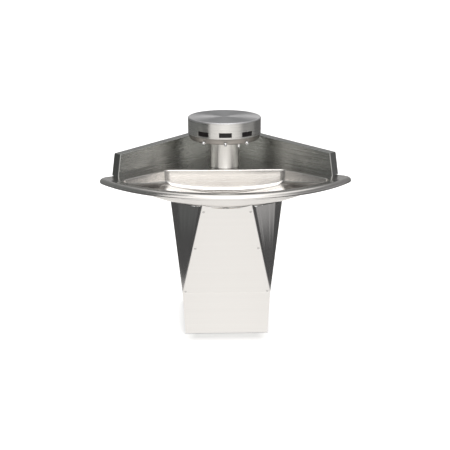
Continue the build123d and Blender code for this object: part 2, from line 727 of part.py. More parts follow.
def make_mixer_knob():
    front = VALVE_Y - 30.4
    knob = rod((MIXER_X, front - 26, MIXER_Z), (MIXER_X, front, MIXER_Z), 19.0)
    knob = fillet(knob.faces().sort_by(Axis.Y)[0].edges(), 3.0)
    for i in range(12):
        a = radians(30 * i)
        x, z = MIXER_X + 20.0 * cos(a), MIXER_Z + 20.0 * sin(a)
        knob -= rod((x, front - 27, z), (x, front - 8, z), 2.6)
    return knob - rod((MIXER_X, front - 18, MIXER_Z), (MIXER_X, front, MIXER_Z), 5.06)


def make_manifold():
    """Header that feeds the three solenoid valves."""
    header = rod((-92, VALVE_Y, MANIFOLD_Z), (92, VALVE_Y, MANIFOLD_Z), 12.0)
    for x in VALVE_XS.values():
        header += rod((x, VALVE_Y, MANIFOLD_Z), (x, VALVE_Y, MANIFOLD_Z + 18), 9.0)
    for x in (-88.0, 88.0):
        header += brick((x - 4, VALVE_Y, MANIFOLD_Z - 8), (x + 4, plate_face(), MANIFOLD_Z + 8))
    return header


def make_solenoid_body(x):
    body = rod((x, VALVE_Y, MANIFOLD_Z + 18), (x, VALVE_Y, 650), 14.0)
    seat = brick((x - 15, VALVE_Y - 18, MANIFOLD_Z + 20), (x + 15, VALVE_Y, 648))
    return body + seat - rod((x, VALVE_Y, 640), (x, VALVE_Y, 650), 5.0)


def make_solenoid_coil(x):
    z = MANIFOLD_Z + 34
    y = VALVE_Y - 18
    coil = rod((x, y - 40, z), (x, y, z), 16.0, 5.06)
    return coil + brick((x - 9, y - 30, z + 12), (x + 9, y - 10, z + 24))


def make_plunger(x):
    z = MANIFOLD_Z + 34
    y = VALVE_Y - 18
    pin = rod((x, y - 38, z), (x, y - 4, z), 5.0)
    return pin + rod((x, y - 46, z), (x, y - 38, z), 3.0)


def make_control_box():
    box = brick((40, 122, 478), (160, plate_face(), 568))
    return box - brick((43, 121, 481), (157, plate_face() - 3, 565))


def make_control_cover():
    cover = brick((40, 119, 478), (160, 122, 568))
    return fillet(cover.faces().sort_by(Axis.Y)[0].edges(), 1.5)


def make_circuit_board():
    board = brick((50, 160, 488), (150, 162, 558))
    for x, z, w, h, d in ((62, 500, 22, 18, 12), (95, 505, 14, 30, 9), (125, 500, 16, 12, 16),
                          (66, 540, 30, 10, 8), (120, 540, 20, 12, 10)):
        board += brick((x, 160 - d, z), (x + w, 160, z + h))
    for x, z in ((57, 495), (143, 551)):
        board += rod((x, 162, z), (x, plate_face() - 3, z), 3.0)
    return board


def make_soap_tank():
    tank = brick((50, -120, 0), (180, 60, 190))
    tank = fillet(tank.edges().filter_by(Axis.Z), 16)
    tank = fillet(tank.faces().sort_by(Axis.Z)[-1].edges(), 12)
    tank += rod((145, 20, 185), (145, 20, 208), 20.0)
    inner = brick((53, -117, 3), (177, 57, 187))
    inner = fillet(inner.edges().filter_by(Axis.Z), 13)
    inner = fillet(inner.faces().sort_by(Axis.Z)[-1].edges(), 9)
    return tank - inner - rod((145, 20, 180), (145, 20, 210), 15.0)


def make_soap_cap():
    cap = rod((145, 20, 200), (145, 20, 216), 25.0)
    cap -= rod((145, 20, 199), (145, 20, 208.3), 20.4)
    return cap


def make_soap_pump():
    pump = brick((70, -100, 190), (120, -50, 250))
    pump = fillet(pump.edges().filter_by(Axis.Z), 6)
    return pump + rod((95, -75, 250), (95, -75, 262), 6.0)


def make_soap_tube():
    x, y, z = soap_place()
    up_x, up_y, high = 18.0, HEAD_Y - 42, z + 60
    points = [(95, -75, 262), (95, -75, 330), (58, 78, 690), (up_x, up_y, 800),
              (up_x, up_y, high), (x, y, high), (x, y, z + 22)]
    return bent_tube(points, 12.0, 4.0, 2.6)


def main():
    os.makedirs("parts", exist_ok=True)
    save("bowl", make_bowl())
    for name, side in (("left", -1), ("right", 1)):
        save(f"backsplash_{name}", make_backsplash(side))
        save(f"wall_bracket_{name}", make_wall_bracket(side))
        save(f"side_panel_{name}", make_side_panel(side))
    save("access_panel", make_access_panel())
    save("kick_panel", make_kick_panel())
    save("panel_screws", make_panel_screws())
    save("panel_nuts", make_panel_nuts())
    save("pedestal_frame", make_frame())
    save("equipment_plate", make_equipment_plate())
    save("column", make_column())
    save("column_studs", make_column_studs())
    save("column_clamp_ring", make_clamp_ring())
    save("head_base", make_head_base())
    save("head_shell", make_head_shell())
    save("head_lid", make_head_lid())
    for name, angle in STATIONS.items():
        save(f"sensor_window_{name}", make_window(angle))
        save(f"spray_nozzle_{name}", make_nozzle(angle))
    for name, maker in (("sensor_modules", make_sensor), ("aerators", make_aerator),
                        ("spray_tubes", make_spray_tube)):
        save(name, Compound(children=[maker(angle) for angle in STATIONS.values()]))
    for name, x in VALVE_XS.items():
        save(f"solenoid_plunger_{name}", make_plunger(x))
    for name, maker in (("solenoid_bodies", make_solenoid_body), ("solenoid_coils", make_solenoid_coil)):
        save(name, Compound(children=[maker(x) for x in VALVE_XS.values()]))
    save("soap_spout", make_soap_spout())
    save("soap_tube", make_soap_tube())
    save("soap_tank", make_soap_tank())
    save("soap_cap", make_soap_cap())
    save("soap_pump", make_soap_pump())
    save("drain_body", make_drain_body())
    save("drain_strainer", make_strainer())
    save("drain_nut", make_drain_nut())
    save("drain_gasket", make_drain_gasket())
    save("tailpiece", make_tailpiece())
    save("trap_bend", make_trap_bend())
    save("trap_arm", make_trap_arm())
    save("trap_slip_nuts", make_slip_nuts())
    save("wall_collars", make_wall_collars())
    for name, along in stop_places().items():
        save(f"stop_valve_{name}", make_stop_valve(along))
        save(f"stop_handle_{name}", make_stop_handle(along))
        save(f"supply_hose_{name}", make_supply_hose(name))
    save("mixing_valve", make_mixing_valve())
    save("mixing_knob", make_mixer_knob())
    save("valve_manifold", make_manifold())
    save("control_box", make_control_box())
    save("control_cover", make_control_cover())
    save("circuit_board", make_circuit_board())


main()
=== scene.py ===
import json
from math import atan2, cos, pi, radians, sin, sqrt

import bmesh
import bpy
from mathutils import Matrix, Vector


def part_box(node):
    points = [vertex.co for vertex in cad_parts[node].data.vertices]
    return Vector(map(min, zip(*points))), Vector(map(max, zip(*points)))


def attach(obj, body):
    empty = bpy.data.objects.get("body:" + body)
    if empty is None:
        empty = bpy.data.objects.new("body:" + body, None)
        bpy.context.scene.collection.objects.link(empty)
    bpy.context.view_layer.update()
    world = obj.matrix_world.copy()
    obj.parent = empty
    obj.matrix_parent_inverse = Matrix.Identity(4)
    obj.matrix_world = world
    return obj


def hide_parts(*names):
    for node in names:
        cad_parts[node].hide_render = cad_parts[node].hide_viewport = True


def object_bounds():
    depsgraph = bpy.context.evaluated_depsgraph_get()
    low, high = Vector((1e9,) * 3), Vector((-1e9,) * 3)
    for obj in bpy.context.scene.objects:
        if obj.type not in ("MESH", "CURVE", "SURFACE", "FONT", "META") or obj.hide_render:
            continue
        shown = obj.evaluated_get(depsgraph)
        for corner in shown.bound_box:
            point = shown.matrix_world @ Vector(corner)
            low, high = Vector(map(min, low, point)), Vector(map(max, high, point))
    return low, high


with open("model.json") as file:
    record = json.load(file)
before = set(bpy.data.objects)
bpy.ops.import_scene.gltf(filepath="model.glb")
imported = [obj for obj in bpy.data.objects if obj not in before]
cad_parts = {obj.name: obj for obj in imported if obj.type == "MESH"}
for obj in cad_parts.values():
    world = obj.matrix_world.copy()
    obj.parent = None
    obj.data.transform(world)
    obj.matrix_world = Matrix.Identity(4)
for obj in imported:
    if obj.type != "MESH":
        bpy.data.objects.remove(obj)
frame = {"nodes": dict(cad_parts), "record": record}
cad_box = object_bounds()

# Metres, in the frame of the part: floor at z = 0, users at -Y, the room corner at +Y.

# ---- bowl
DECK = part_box("column")[0].z
CORNER = cad_box[1].y
RIM_R = 0.8197
RIM_Y = 0.820 - CORNER    # its centre
RIM_H = 0.025
RIM_W = 0.020             # outer edge to the top of the roll
RIM_RISE = 0.004          # top of the roll above the deck
TIP_ROUND = 0.045
SHEET = 0.0025
BASIN_BACK_Y = 0.030
BASIN_GAP = 0.128
BASIN_R = 0.752           # front edge of the basin, round the rim's centre
BASIN_LEAN = 0.70         # run of the front wall per unit of depth
WALL_LEAN = 0.03          # the same for the side and back walls
BASIN_TIP_ROUND = 0.040
BASIN_BACK_ROUND = 0.045
BASIN_DEPTH = 0.128
DISH_R = 1.400
DRAIN_Y = -0.120
DRAIN_HOLE_R = 0.026
FLAT_INSET = RIM_W + 0.026  # outer edge to where the deck starts to rise towards the roll
ROLL_SIDE = DECK - 0.014  # height of the roll's outermost line
EDGE_ROUND = 0.006        # where the deck turns down into the basin
FOOT_ROUND = 0.030        # where a basin wall meets the floor
SPLASH_END = 0.875        # backsplash length along the wall
SPLASH_TOP_END = 0.853    # its top edge stops short of that
SPLASH_T = 0.0508
SPLASH_H_END = 0.120
FOLD_ROUND = 0.0048
WALL_NEAR, WALL_FAR = 0.045, 0.075    # distances from a wall over which the roll gains its rise
END_NEAR, END_FAR = 0.005, 0.055      # and beside a wall, distances past the backsplash's end

# ---- head
HEAD_Y = 0.134
HEAD_R = 0.2048
HEAD_SHEET = 0.002
HEAD_LOW_R = 0.1865
HEAD_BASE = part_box("head_base")[0].z
HEAD_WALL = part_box("head_shell")[0].z
HEAD_WALL_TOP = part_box("head_shell")[1].z
HEAD_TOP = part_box("head_lid")[1].z
LID_ROLL = 0.0066
LID_GAP = 0.0003          # lid above the drum wall
LID_LIP = 0.012           # width of the flat under the lid's edge
NOZZLE_RING_R = 0.196     # from the head's axis to a nozzle
NOZZLE_LIFT = 0.0095      # and above the underside of the head
NOZZLE_DOWN = 42          # degrees below level
COLUMN_R = 0.0824
STATIONS = {"left": -36.5, "centre": 0.0, "right": 36.5}
WINDOW_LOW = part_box("sensor_window_centre")[0].z + 0.004
WINDOW_HIGH = WINDOW_LOW + 0.026
WINDOW_HALF = 9.75        # degrees

# ---- contact shade painted on the floor: dark core, and how far it fades
FOOT_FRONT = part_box("kick_panel")[0].y - 0.04
FOOT_HALF_X = 0.165
FOOT_HALF_Y = 0.24
FOOT_Y = FOOT_FRONT + FOOT_HALF_Y
SHADE_START, SHADE_END = -0.02, 0.15
GLOW_LOW, GLOW_HIGH = 0.26, 0.78
FLOOR_SIZE = 120
FLOOR_Y = 30

ROOT2 = sqrt(2.0)
COLOUR_A, COLOUR_B, COLOUR_OUT = 6, 7, 2    # colour sockets of a Mix node
FOLD_ANGLE = 30.0         # degrees; sharper edges are rounded and shaded sharp


# ------------------------------------------------------------------ materials

class Nodes:
    """Small wrapper to build a node tree."""

    def __init__(self, tree):
        self.tree = tree
        self.tree.nodes.clear()

    def add(self, kind, **values):
        node = self.tree.nodes.new(kind)
        for name, value in values.items():
            if name.startswith("in_"):
                key = name[3:]
                node.inputs[int(key) if key.isdigit() else key.replace("_", " ")].default_value = value
            else:
                setattr(node, name, value)
        return node

    def link(self, source, target):
        self.tree.links.new(source, target)


def new_material(name):
    material = bpy.data.materials.new(name)
    material.use_nodes = True
    nodes = Nodes(material.node_tree)
    shader = nodes.add("ShaderNodeBsdfPrincipled")
    out = nodes.add("ShaderNodeOutputMaterial")
    nodes.link(shader.outputs["BSDF"], out.inputs["Surface"])
    return material, nodes, shader


def stretched_noise(nodes, scale, detail):
    place = nodes.add("ShaderNodeTexCoord")
    mapping = nodes.add("ShaderNodeMapping", in_Scale=scale)
    noise = nodes.add("ShaderNodeTexNoise", in_Scale=1.0, in_Detail=detail, in_Roughness=0.6)
    nodes.link(place.outputs["Object"], mapping.inputs["Vector"])
    nodes.link(mapping.outputs["Vector"], noise.inputs["Vector"])
    return noise.outputs["Fac"]


def ramp(nodes, value, low, high, spread=(0.35, 0.65)):
    node = nodes.add("ShaderNodeMapRange")
    node.inputs["From Min"].default_value = spread[0]
    node.inputs["From Max"].default_value = spread[1]
    node.inputs["To Min"].default_value = low
    node.inputs["To Max"].default_value = high
    nodes.link(value, node.inputs["Value"])
    return node.outputs["Result"]


def colour_mix(nodes, factor, dark, light):
    node = nodes.add("ShaderNodeMix", data_type="RGBA")
    node.inputs[COLOUR_A].default_value = (*dark, 1)
    node.inputs[COLOUR_B].default_value = (*light, 1)
    nodes.link(factor, node.inputs["Factor"])
    return node.outputs[COLOUR_OUT]


def add_math(nodes, a, b):
    node = nodes.add("ShaderNodeMath", operation="ADD")
    nodes.link(a, node.inputs[0])
    nodes.link(b, node.inputs[1])
    return node.outputs[0]


def add_bump(nodes, shader, height, strength, distance):
    bump = nodes.add("ShaderNodeBump", in_Strength=strength, in_Distance=distance)
    nodes.link(height, bump.inputs["Height"])
    nodes.link(bump.outputs["Normal"], shader.inputs["Normal"])


def steel(name, tone, rough, grain, aniso=0.0, aniso_turn=0.25, contrast=1.0, relief=0.05):
    """Brushed stainless steel: long fine grain, faint handling smudges, small waviness."""
    material, nodes, shader = new_material(name)
    fine = stretched_noise(nodes, grain, 5.0)
    coarse = stretched_noise(nodes, tuple(g * 0.3 for g in grain), 3.0)
    broad = stretched_noise(nodes, tuple(g * 0.045 for g in grain), 2.0)
    smudge = stretched_noise(nodes, (5.0, 5.0, 5.0), 4.0)
    streak = add_math(nodes, ramp(nodes, fine, 0.0, 0.5), ramp(nodes, coarse, 0.0, 0.2))
    streak = add_math(nodes, streak, ramp(nodes, broad, 0.0, 0.3))
    dark = tuple(c * (1 - 0.08 * contrast) for c in tone)
    light = tuple(min(1.0, c * (1 + 0.06 * contrast)) for c in tone)
    nodes.link(colour_mix(nodes, streak, dark, light), shader.inputs["Base Color"])
    grain_rough = ramp(nodes, streak, rough - 0.035, rough + 0.035, (0.1, 0.9))
    smudge_rough = ramp(nodes, smudge, -0.012, 0.022)
    nodes.link(add_math(nodes, grain_rough, smudge_rough), shader.inputs["Roughness"])
    add_bump(nodes, shader, streak, relief, 0.0004)
    shader.inputs["Metallic"].default_value = 1.0
    if aniso:
        tangent = nodes.add("ShaderNodeTangent", direction_type="RADIAL", axis="Z")
        nodes.link(tangent.outputs["Tangent"], shader.inputs["Tangent"])
        shader.inputs["Anisotropic"].default_value = aniso
        shader.inputs["Anisotropic Rotation"].default_value = aniso_turn
    return material


def plain_metal(name, tone, rough, speck=260.0, tint=0.10):
    """Cast, plated or machined metal with a mottled surface."""
    material, nodes, shader = new_material(name)
    speckle = stretched_noise(nodes, (speck,) * 3, 4.0)
    cloud = stretched_noise(nodes, (22.0,) * 3, 3.0)
    both = add_math(nodes, ramp(nodes, speckle, 0.0, 0.5), ramp(nodes, cloud, 0.0, 0.5))
    dark = tuple(c * (1 - tint) for c in tone)
    nodes.link(colour_mix(nodes, both, dark, tone), shader.inputs["Base Color"])
    nodes.link(ramp(nodes, both, rough - 0.05, rough + 0.06, (0.1, 0.9)), shader.inputs["Roughness"])
    add_bump(nodes, shader, speckle, 0.12, 0.0003)
    shader.inputs["Metallic"].default_value = 1.0
    return material


def plastic(name, tone, rough, coat=0.0, see_through=0.0, shine=0.5):
    """Moulded plastic with a fine texture."""
    material, nodes, shader = new_material(name)
    speckle = stretched_noise(nodes, (900.0,) * 3, 3.0)
    cloud = stretched_noise(nodes, (14.0,) * 3, 3.0)
    dark = tuple(c * 0.85 for c in tone)
    nodes.link(colour_mix(nodes, ramp(nodes, cloud, 0.0, 1.0), dark, tone), shader.inputs["Base Color"])
    nodes.link(ramp(nodes, cloud, rough - 0.04, rough + 0.05), shader.inputs["Roughness"])
    add_bump(nodes, shader, speckle, 0.15, 0.0002)
    shader.inputs["Coat Weight"].default_value = coat
    shader.inputs["Transmission Weight"].default_value = see_through
    shader.inputs["Specular IOR Level"].default_value = shine
    return material


def braid(name):
    """Woven steel sleeve of a supply hose."""
    material, nodes, shader = new_material(name)
    place = nodes.add("ShaderNodeTexCoord")
    waves = []
    for lean in (0.8, -0.8):
        mapping = nodes.add("ShaderNodeMapping", in_Rotation=(lean, lean, 0.3), in_Scale=(420, 420, 420))
        wave = nodes.add("ShaderNodeTexWave", in_Scale=0.9, in_Distortion=0.4)
        nodes.link(place.outputs["Object"], mapping.inputs["Vector"])
        nodes.link(mapping.outputs["Vector"], wave.inputs["Vector"])
        waves.append(wave.outputs["Fac"])
    weave = add_math(nodes, *waves)
    share = ramp(nodes, weave, 0.0, 1.0, (0.3, 1.6))
    colour = colour_mix(nodes, share, (0.25, 0.25, 0.26), (0.72, 0.72, 0.73))
    nodes.link(colour, shader.inputs["Base Color"])
    add_bump(nodes, shader, weave, 0.5, 0.0006)
    shader.inputs["Metallic"].default_value = 1.0
    shader.inputs["Roughness"].default_value = 0.34
    return material


WARM = (0.66, 0.65, 0.63)
LEVEL = (3.0, 1200.0, 1200.0)      # grain along X
AROUND = (3.5, 3.5, 1300.0)        # grain round a vertical axis
UPRIGHT = (1200.0, 1200.0, 4.0)    # grain up and down

SLOT_MATERIALS = {
    "bowl_steel": steel("bowl_steel", (0.735, 0.718, 0.698), 0.22, LEVEL, contrast=0.9, relief=0.02),
    # Backsplash steel is darker than the bowl's: painted shade on the same stainless sheet.
    "splash_steel": steel("splash_steel", (0.445, 0.45, 0.435), 0.27, AROUND, contrast=0.8, relief=0.03),
    # Side panel steel is darker than the front panels': painted shade on the same pedestal sheet.
    "side_steel": steel("side_steel", (0.48, 0.47, 0.465), 0.22, UPRIGHT, contrast=0.5, relief=0.02),
    "panel_steel": steel("panel_steel", (0.78, 0.765, 0.745), 0.34, LEVEL, contrast=0.3, relief=0.03),
    "column_steel": steel("column_steel", WARM, 0.30, AROUND, aniso=0.8, contrast=0.8),
    "head_steel": steel("head_steel", (0.62, 0.61, 0.59), 0.28, AROUND, aniso=0.7, contrast=2.4),
    "lid_steel": steel("lid_steel", (0.60, 0.60, 0.61), 0.33, (9.0, 9.0, 9.0), aniso=0.85, aniso_turn=0.0,
                       contrast=0.5),
    "screw_steel": plain_metal("screw_steel", (0.62, 0.61, 0.60), 0.28),
    "zinc_steel": plain_metal("zinc_steel", (0.52, 0.53, 0.54), 0.42, 120.0, 0.25),
    "chrome": plain_metal("chrome", (0.80, 0.80, 0.80), 0.09, 60.0, 0.03),
    "brass": plain_metal("brass", (0.66, 0.49, 0.24), 0.30, 200.0, 0.22),
    "sensor_lens": plastic("sensor_lens", (0.010, 0.008, 0.008), 0.28, shine=0.25),
    "black_plastic": plastic("black_plastic", (0.035, 0.035, 0.037), 0.42),
    "grey_plastic": plastic("grey_plastic", (0.40, 0.41, 0.42), 0.45),
    "coil_plastic": plastic("coil_plastic", (0.09, 0.11, 0.15), 0.38),
    "clear_tube": plastic("clear_tube", (0.80, 0.82, 0.80), 0.25, see_through=0.35),
    "tank_plastic": plastic("tank_plastic", (0.84, 0.84, 0.79), 0.40, see_through=0.25),
    "rubber": plastic("rubber", (0.03, 0.03, 0.03), 0.62),
    "handle_red": plastic("handle_red", (0.52, 0.035, 0.03), 0.30, coat=0.3),
    "handle_blue": plastic("handle_blue", (0.03, 0.09, 0.42), 0.30, coat=0.3),
    "braid": braid("braid"),
    "board": plastic("board", (0.02, 0.16, 0.06), 0.35, coat=0.4),
}
# Dark copy of the drum's steel for the lower ring: painted shade under the drum.
SHADED_RING_STEEL = steel("shaded_ring_steel", (0.275, 0.26, 0.244), 0.30, AROUND, contrast=1.4)
# Dark copy of the backsplash's steel for its end faces: painted shade.
SHADED_END_STEEL = steel("shaded_end_steel", (0.27, 0.27, 0.265), 0.30, UPRIGHT, contrast=0.8, relief=0.03)
NODE_SLOT = {s["node"]: s["material_slot"] for s in frame["record"]["subparts"]}


# ------------------------------------------------------------------ mesh helpers

def make_object(name, vertices, faces, body, nodes=(), place=(0, 0, 0), sharp=32.0):
    """Mesh object in the part's frame that rides on a body and stands for CAD nodes."""
    mesh = bpy.data.meshes.new(name)
    origin = Vector(place)
    mesh.from_pydata([Vector(v) - origin for v in vertices], [], faces)
    work = bmesh.new()
    work.from_mesh(mesh)
    bmesh.ops.remove_doubles(work, verts=work.verts, dist=1e-6)
    bmesh.ops.recalc_face_normals(work, faces=work.faces)
    work.to_mesh(mesh)
    work.free()
    thing = bpy.data.objects.new(name, mesh)
    thing.location = origin
    bpy.context.scene.collection.objects.link(thing)
    finish_piece(thing, body, nodes, sharp)
    return thing


def finish_piece(thing, body, nodes, sharp):
    thing.data.shade_smooth()
    thing.data.set_sharp_from_angle(angle=radians(sharp))
    slot = NODE_SLOT[nodes[0]]
    thing.data.materials.clear()
    thing.data.materials.append(SLOT_MATERIALS[slot])
    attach(thing, body)
    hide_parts(*nodes)


def soften(thing, width, segments, angle=FOLD_ANGLE):
    """Rounded edges on folded or machined shapes."""
    bevel = thing.modifiers.new("edges", "BEVEL")
    bevel.width = width
    bevel.segments = segments
    bevel.limit_method = "ANGLE"
    bevel.angle_limit = radians(angle)
    bevel.harden_normals = True


def body_of_node(node):
    return next(b for b, members in frame["record"]["behaviour"]["bodies"].items() if node in members)


def dressed(node, width, segments):
    """Copy of a CAD node with clean faces and rounded edges."""
    mesh = frame["nodes"][node].data.copy()
    work = bmesh.new()
    work.from_mesh(mesh)
    bmesh.ops.remove_doubles(work, verts=work.verts, dist=2e-6)
    bmesh.ops.dissolve_limit(work, angle_limit=radians(0.3), verts=work.verts, edges=work.edges)
    bmesh.ops.recalc_face_normals(work, faces=work.faces)
    work.to_mesh(mesh)
    work.free()
    thing = bpy.data.objects.new(f"{node}_visual", mesh)
    bpy.context.scene.collection.objects.link(thing)
    finish_piece(thing, body_of_node(node), [node], FOLD_ANGLE)
    soften(thing, width, segments)
    return thing


def loft(name, loops, body, nodes, **more):
    """Closed skin over loops that each have the same number of points; the last joins the first."""
    count = len(loops[0])
    vertices = [p for loop in loops for p in loop]
    faces = []
    for r in range(len(loops)):
        a, b = r * count, ((r + 1) % len(loops)) * count
        for i in range(count):
            j = (i + 1) % count
            faces.append((a + i, a + j, b + j, b + i))
    return make_object(name, vertices, faces, body, nodes, **more)


def lathe(name, profile, centre, body, nodes, turns=160, direction=None, **more):
    """Revolve a section of (radius, height) about a vertical axis, or one along direction."""
    base = Matrix.Translation(Vector(centre))
    if direction is not None:
        base = base @ Vector(direction).to_track_quat("Z", "Y").to_matrix().to_4x4()
    loops = []
    for radius, height in profile:
        radius = max(radius, 1e-5)
        angles = [2 * pi * i / turns for i in range(turns)]
        loops.append([base @ Vector((radius * cos(a), radius * sin(a), height)) for a in angles])
    return loft(name, loops, body, nodes, **more)


def curve_points(a, b, c, count):
    """Quadratic bend from a to c with its corner at b."""
    points = []
    for k in range(count + 1):
        t = k / count
        points.append(a * (1 - t) ** 2 + b * (2 * t * (1 - t)) + c * t ** 2)
    return points


def smooth(t):
    """Eased 0 to 1."""
    return t * t * (3 - 2 * t)


def clamp(value):
    return max(0.0, min(1.0, value))


def arc_section(centre, radius_x, radius_z, start, end, count):
    """Points of an ellipse arc in a (radius, height) section, angles in degrees."""
    points = []
    for k in range(count + 1):
        a = radians(start + (end - start) * k / count)
        points.append((centre[0] + radius_x * cos(a), centre[1] + radius_z * sin(a)))
    return points


# ------------------------------------------------------------------ bowl

ARC_STEPS, TIP_STEPS, SIDE_STEPS, CORNER_STEPS, BACK_STEPS = 56, 14, 26, 10, 14    # round an outline
EDGE_STEPS, WALL_STEPS, FOOT_STEPS, FLOOR_STEPS = 5, 3, 8, 18                      # down into the basin
RISE_STEPS, ROLL_STEPS, LIP_STEPS, LIP_BACK_STEPS, UNDER_STEPS = 8, 14, 8, 6, 8    # over the rim
SETTLE_ROUNDS = 30        # to find where a leaning wall meets the dished floor
EDGE_SHARE, FOOT_SHARE = 0.3, 0.42    # most of a wall that its top and bottom rounds may take
UNDER_DECK_ROWS = 3       # outer loops that are lowered to the underside of the deck


def heading(a):
    """Unit direction in plan, angle from the front (-Y) towards the right."""
    return Vector((sin(a), -cos(a), 0.0))


def half_outline(radius, gap, tip_round, back_y=None, back_round=0.0):
    """Right half of an outline, front middle to back middle.

    Returns its points, outward normals and share of the front wall's slope.
    """
    apex = CORNER - gap * ROOT2
    s = apex - tip_round * ROOT2 - RIM_Y
    cx = (s + sqrt(2 * (radius - tip_round) ** 2 - s * s)) / 2
    tip = Vector((cx, RIM_Y + s - cx, 0.0))
    start = atan2(cx, RIM_Y - tip.y)
    points, normals, slopes = [], [], []

    def put(point, normal, slope):
        points.append(point)
        normals.append(normal)
        slopes.append(slope)

    for k in range(ARC_STEPS):
        a = start * k / ARC_STEPS
        put(Vector((0, RIM_Y, 0)) + heading(a) * radius, heading(a), 1.0)
    for k in range(TIP_STEPS):
        t = k / TIP_STEPS
        a = start + (radians(135) - start) * t
        put(tip + heading(a) * tip_round, heading(a), 1.0 - smooth(t))
    side = heading(radians(135))
    here = tip + side * tip_round
    if back_y is None:
        end = Vector((0, apex, 0))
        total = SIDE_STEPS + CORNER_STEPS + BACK_STEPS
        for k in range(total + 1):
            put(here.lerp(end, k / total), side, 0.0)
    else:
        cy = back_y - back_round
        corner = Vector((apex - cy - back_round * ROOT2, cy, 0))
        there = corner + side * back_round
        for k in range(SIDE_STEPS):
            put(here.lerp(there, k / SIDE_STEPS), side, 0.0)
        for k in range(CORNER_STEPS):
            a = radians(135 + 45 * k / CORNER_STEPS)
            put(corner + heading(a) * back_round, heading(a), 0.0)
        there, end = corner + Vector((0, back_round, 0)), Vector((0, back_y, 0))
        for k in range(BACK_STEPS + 1):
            put(there.lerp(end, k / BACK_STEPS), Vector((0, 1, 0)), 0.0)
    return points, normals, slopes


def whole(values, mirror):
    """Full loop from its right half."""
    left = [mirror(v) for v in reversed(values[1:-1])]
    return list(values) + left


def flip_x(v):
    return Vector((-v.x, v.y, v.z))


def outline(radius, gap, tip_round, back_y=None, back_round=0.0):
    """Whole outline from its mirrored right half."""
    points, normals, slopes = half_outline(radius, gap, tip_round, back_y, back_round)
    return whole(points, flip_x), whole(normals, flip_x), whole(slopes, lambda v: v)


def at_height(points, z):
    if not isinstance(z, (list, tuple)):
        z = [z] * len(points)
    return [Vector((p.x, p.y, h)) for p, h in zip(points, z)]


def deck_loop(inset, z):
    points, _, _ = outline(RIM_R - inset, inset, max(TIP_ROUND - inset, 0.002))
    return at_height(points, z)


def rise_share(points):
    """1 where the roll stands above the deck, fading to 0 before the backsplash."""
    shares = []
    for p in points:
        off_wall = (CORNER - abs(p.x) - p.y) / ROOT2
        along = abs(p.x) * ROOT2 + off_wall
        near_wall = clamp((WALL_FAR - off_wall) / (WALL_FAR - WALL_NEAR))
        fade = clamp((along - SPLASH_END - END_NEAR) / (END_FAR - END_NEAR))
        shares.append(1.0 - near_wall * (1.0 - smooth(fade)))
    return shares


def dish_height(p, grow):
    reach = (Vector((p.x, p.y, 0)) - Vector((0, DRAIN_Y, 0))).length
    radius = DISH_R + grow
    return DECK - BASIN_DEPTH + DISH_R - sqrt(radius * radius - reach * reach)


def basin_loops(grow):
    """Loops from the deck's edge down the wall, over the floor to the drain hole."""
    points, normals, slopes = outline(BASIN_R + grow, BASIN_GAP - grow, BASIN_TIP_ROUND + grow,
                                      BASIN_BACK_Y + grow, BASIN_BACK_ROUND + grow)
    columns = []
    for p, n, share in zip(points, normals, slopes):
        lean = WALL_LEAN + (BASIN_LEAN - WALL_LEAN) * share
        deep = 0.05
        for _ in range(SETTLE_ROUNDS):
            foot = p - n * (lean * deep)
            deep = DECK - dish_height(foot, grow)
        foot = p - n * (lean * deep)
        edge = min(EDGE_ROUND, deep * EDGE_SHARE)
        wall = Vector((-n.x * lean, -n.y * lean, -1.0)).normalized()
        top = Vector((p.x, p.y, DECK))
        low = Vector((foot.x, foot.y, DECK - deep))
        column = curve_points(top + n * edge, top, top + wall * edge, EDGE_STEPS)
        reach = min(FOOT_ROUND, (low - top).length * FOOT_SHARE)
        bend_start = low - wall * reach
        column += [column[-1].lerp(bend_start, k / WALL_STEPS) for k in range(1, WALL_STEPS)]
        inward = Vector((0, DRAIN_Y, 0)) - Vector((foot.x, foot.y, 0))
        length = inward.length
        inward = inward.normalized()
        landing = foot + inward * reach
        bend_end = Vector((landing.x, landing.y, dish_height(landing, grow)))
        column += curve_points(bend_start, low, bend_end, FOOT_STEPS)
        last = length - DRAIN_HOLE_R
        for k in range(1, FLOOR_STEPS + 1):
            q = foot + inward * (reach + (last - reach) * k / FLOOR_STEPS)
            column.append(Vector((q.x, q.y, dish_height(q, grow))))
        columns.append(column)
    return [[column[k] for column in columns] for k in range(len(columns[0]))]


def roll_loops(crown):
    """Loops over the rolled rim, from its top out and down to its open edge and back up inside."""
    loops = []
    for k in range(1, ROLL_STEPS + 1):
        a = radians(90 - 90 * k / ROLL_STEPS)
        rise = [ROLL_SIDE + (DECK + c - ROLL_SIDE) * sin(a) for c in crown]
        loops.append(deck_loop(RIM_W * (1 - cos(a)), rise))
    low = DECK - RIM_H
    turn_in = ROLL_SIDE - low
    for x, z in arc_section((turn_in, ROLL_SIDE), -turn_in, turn_in, 0, -90, LIP_STEPS):
        loops.append(deck_loop(x, z))
    loops += [deck_loop(RIM_W, low), deck_loop(RIM_W, low + SHEET)]
    inner = turn_in - SHEET
    for x, z in reversed(arc_section((turn_in, ROLL_SIDE), -inner, inner, 0, -90, LIP_BACK_STEPS)):
        loops.append(deck_loop(x, z))
    for k in range(UNDER_STEPS + 1):
        a = radians(90 * k / UNDER_STEPS)
        inset = SHEET + (RIM_W - SHEET) * (1 - cos(a))
        loops.append(deck_loop(inset, [ROLL_SIDE + (DECK - SHEET + c - ROLL_SIDE) * sin(a) for c in crown]))
    return loops


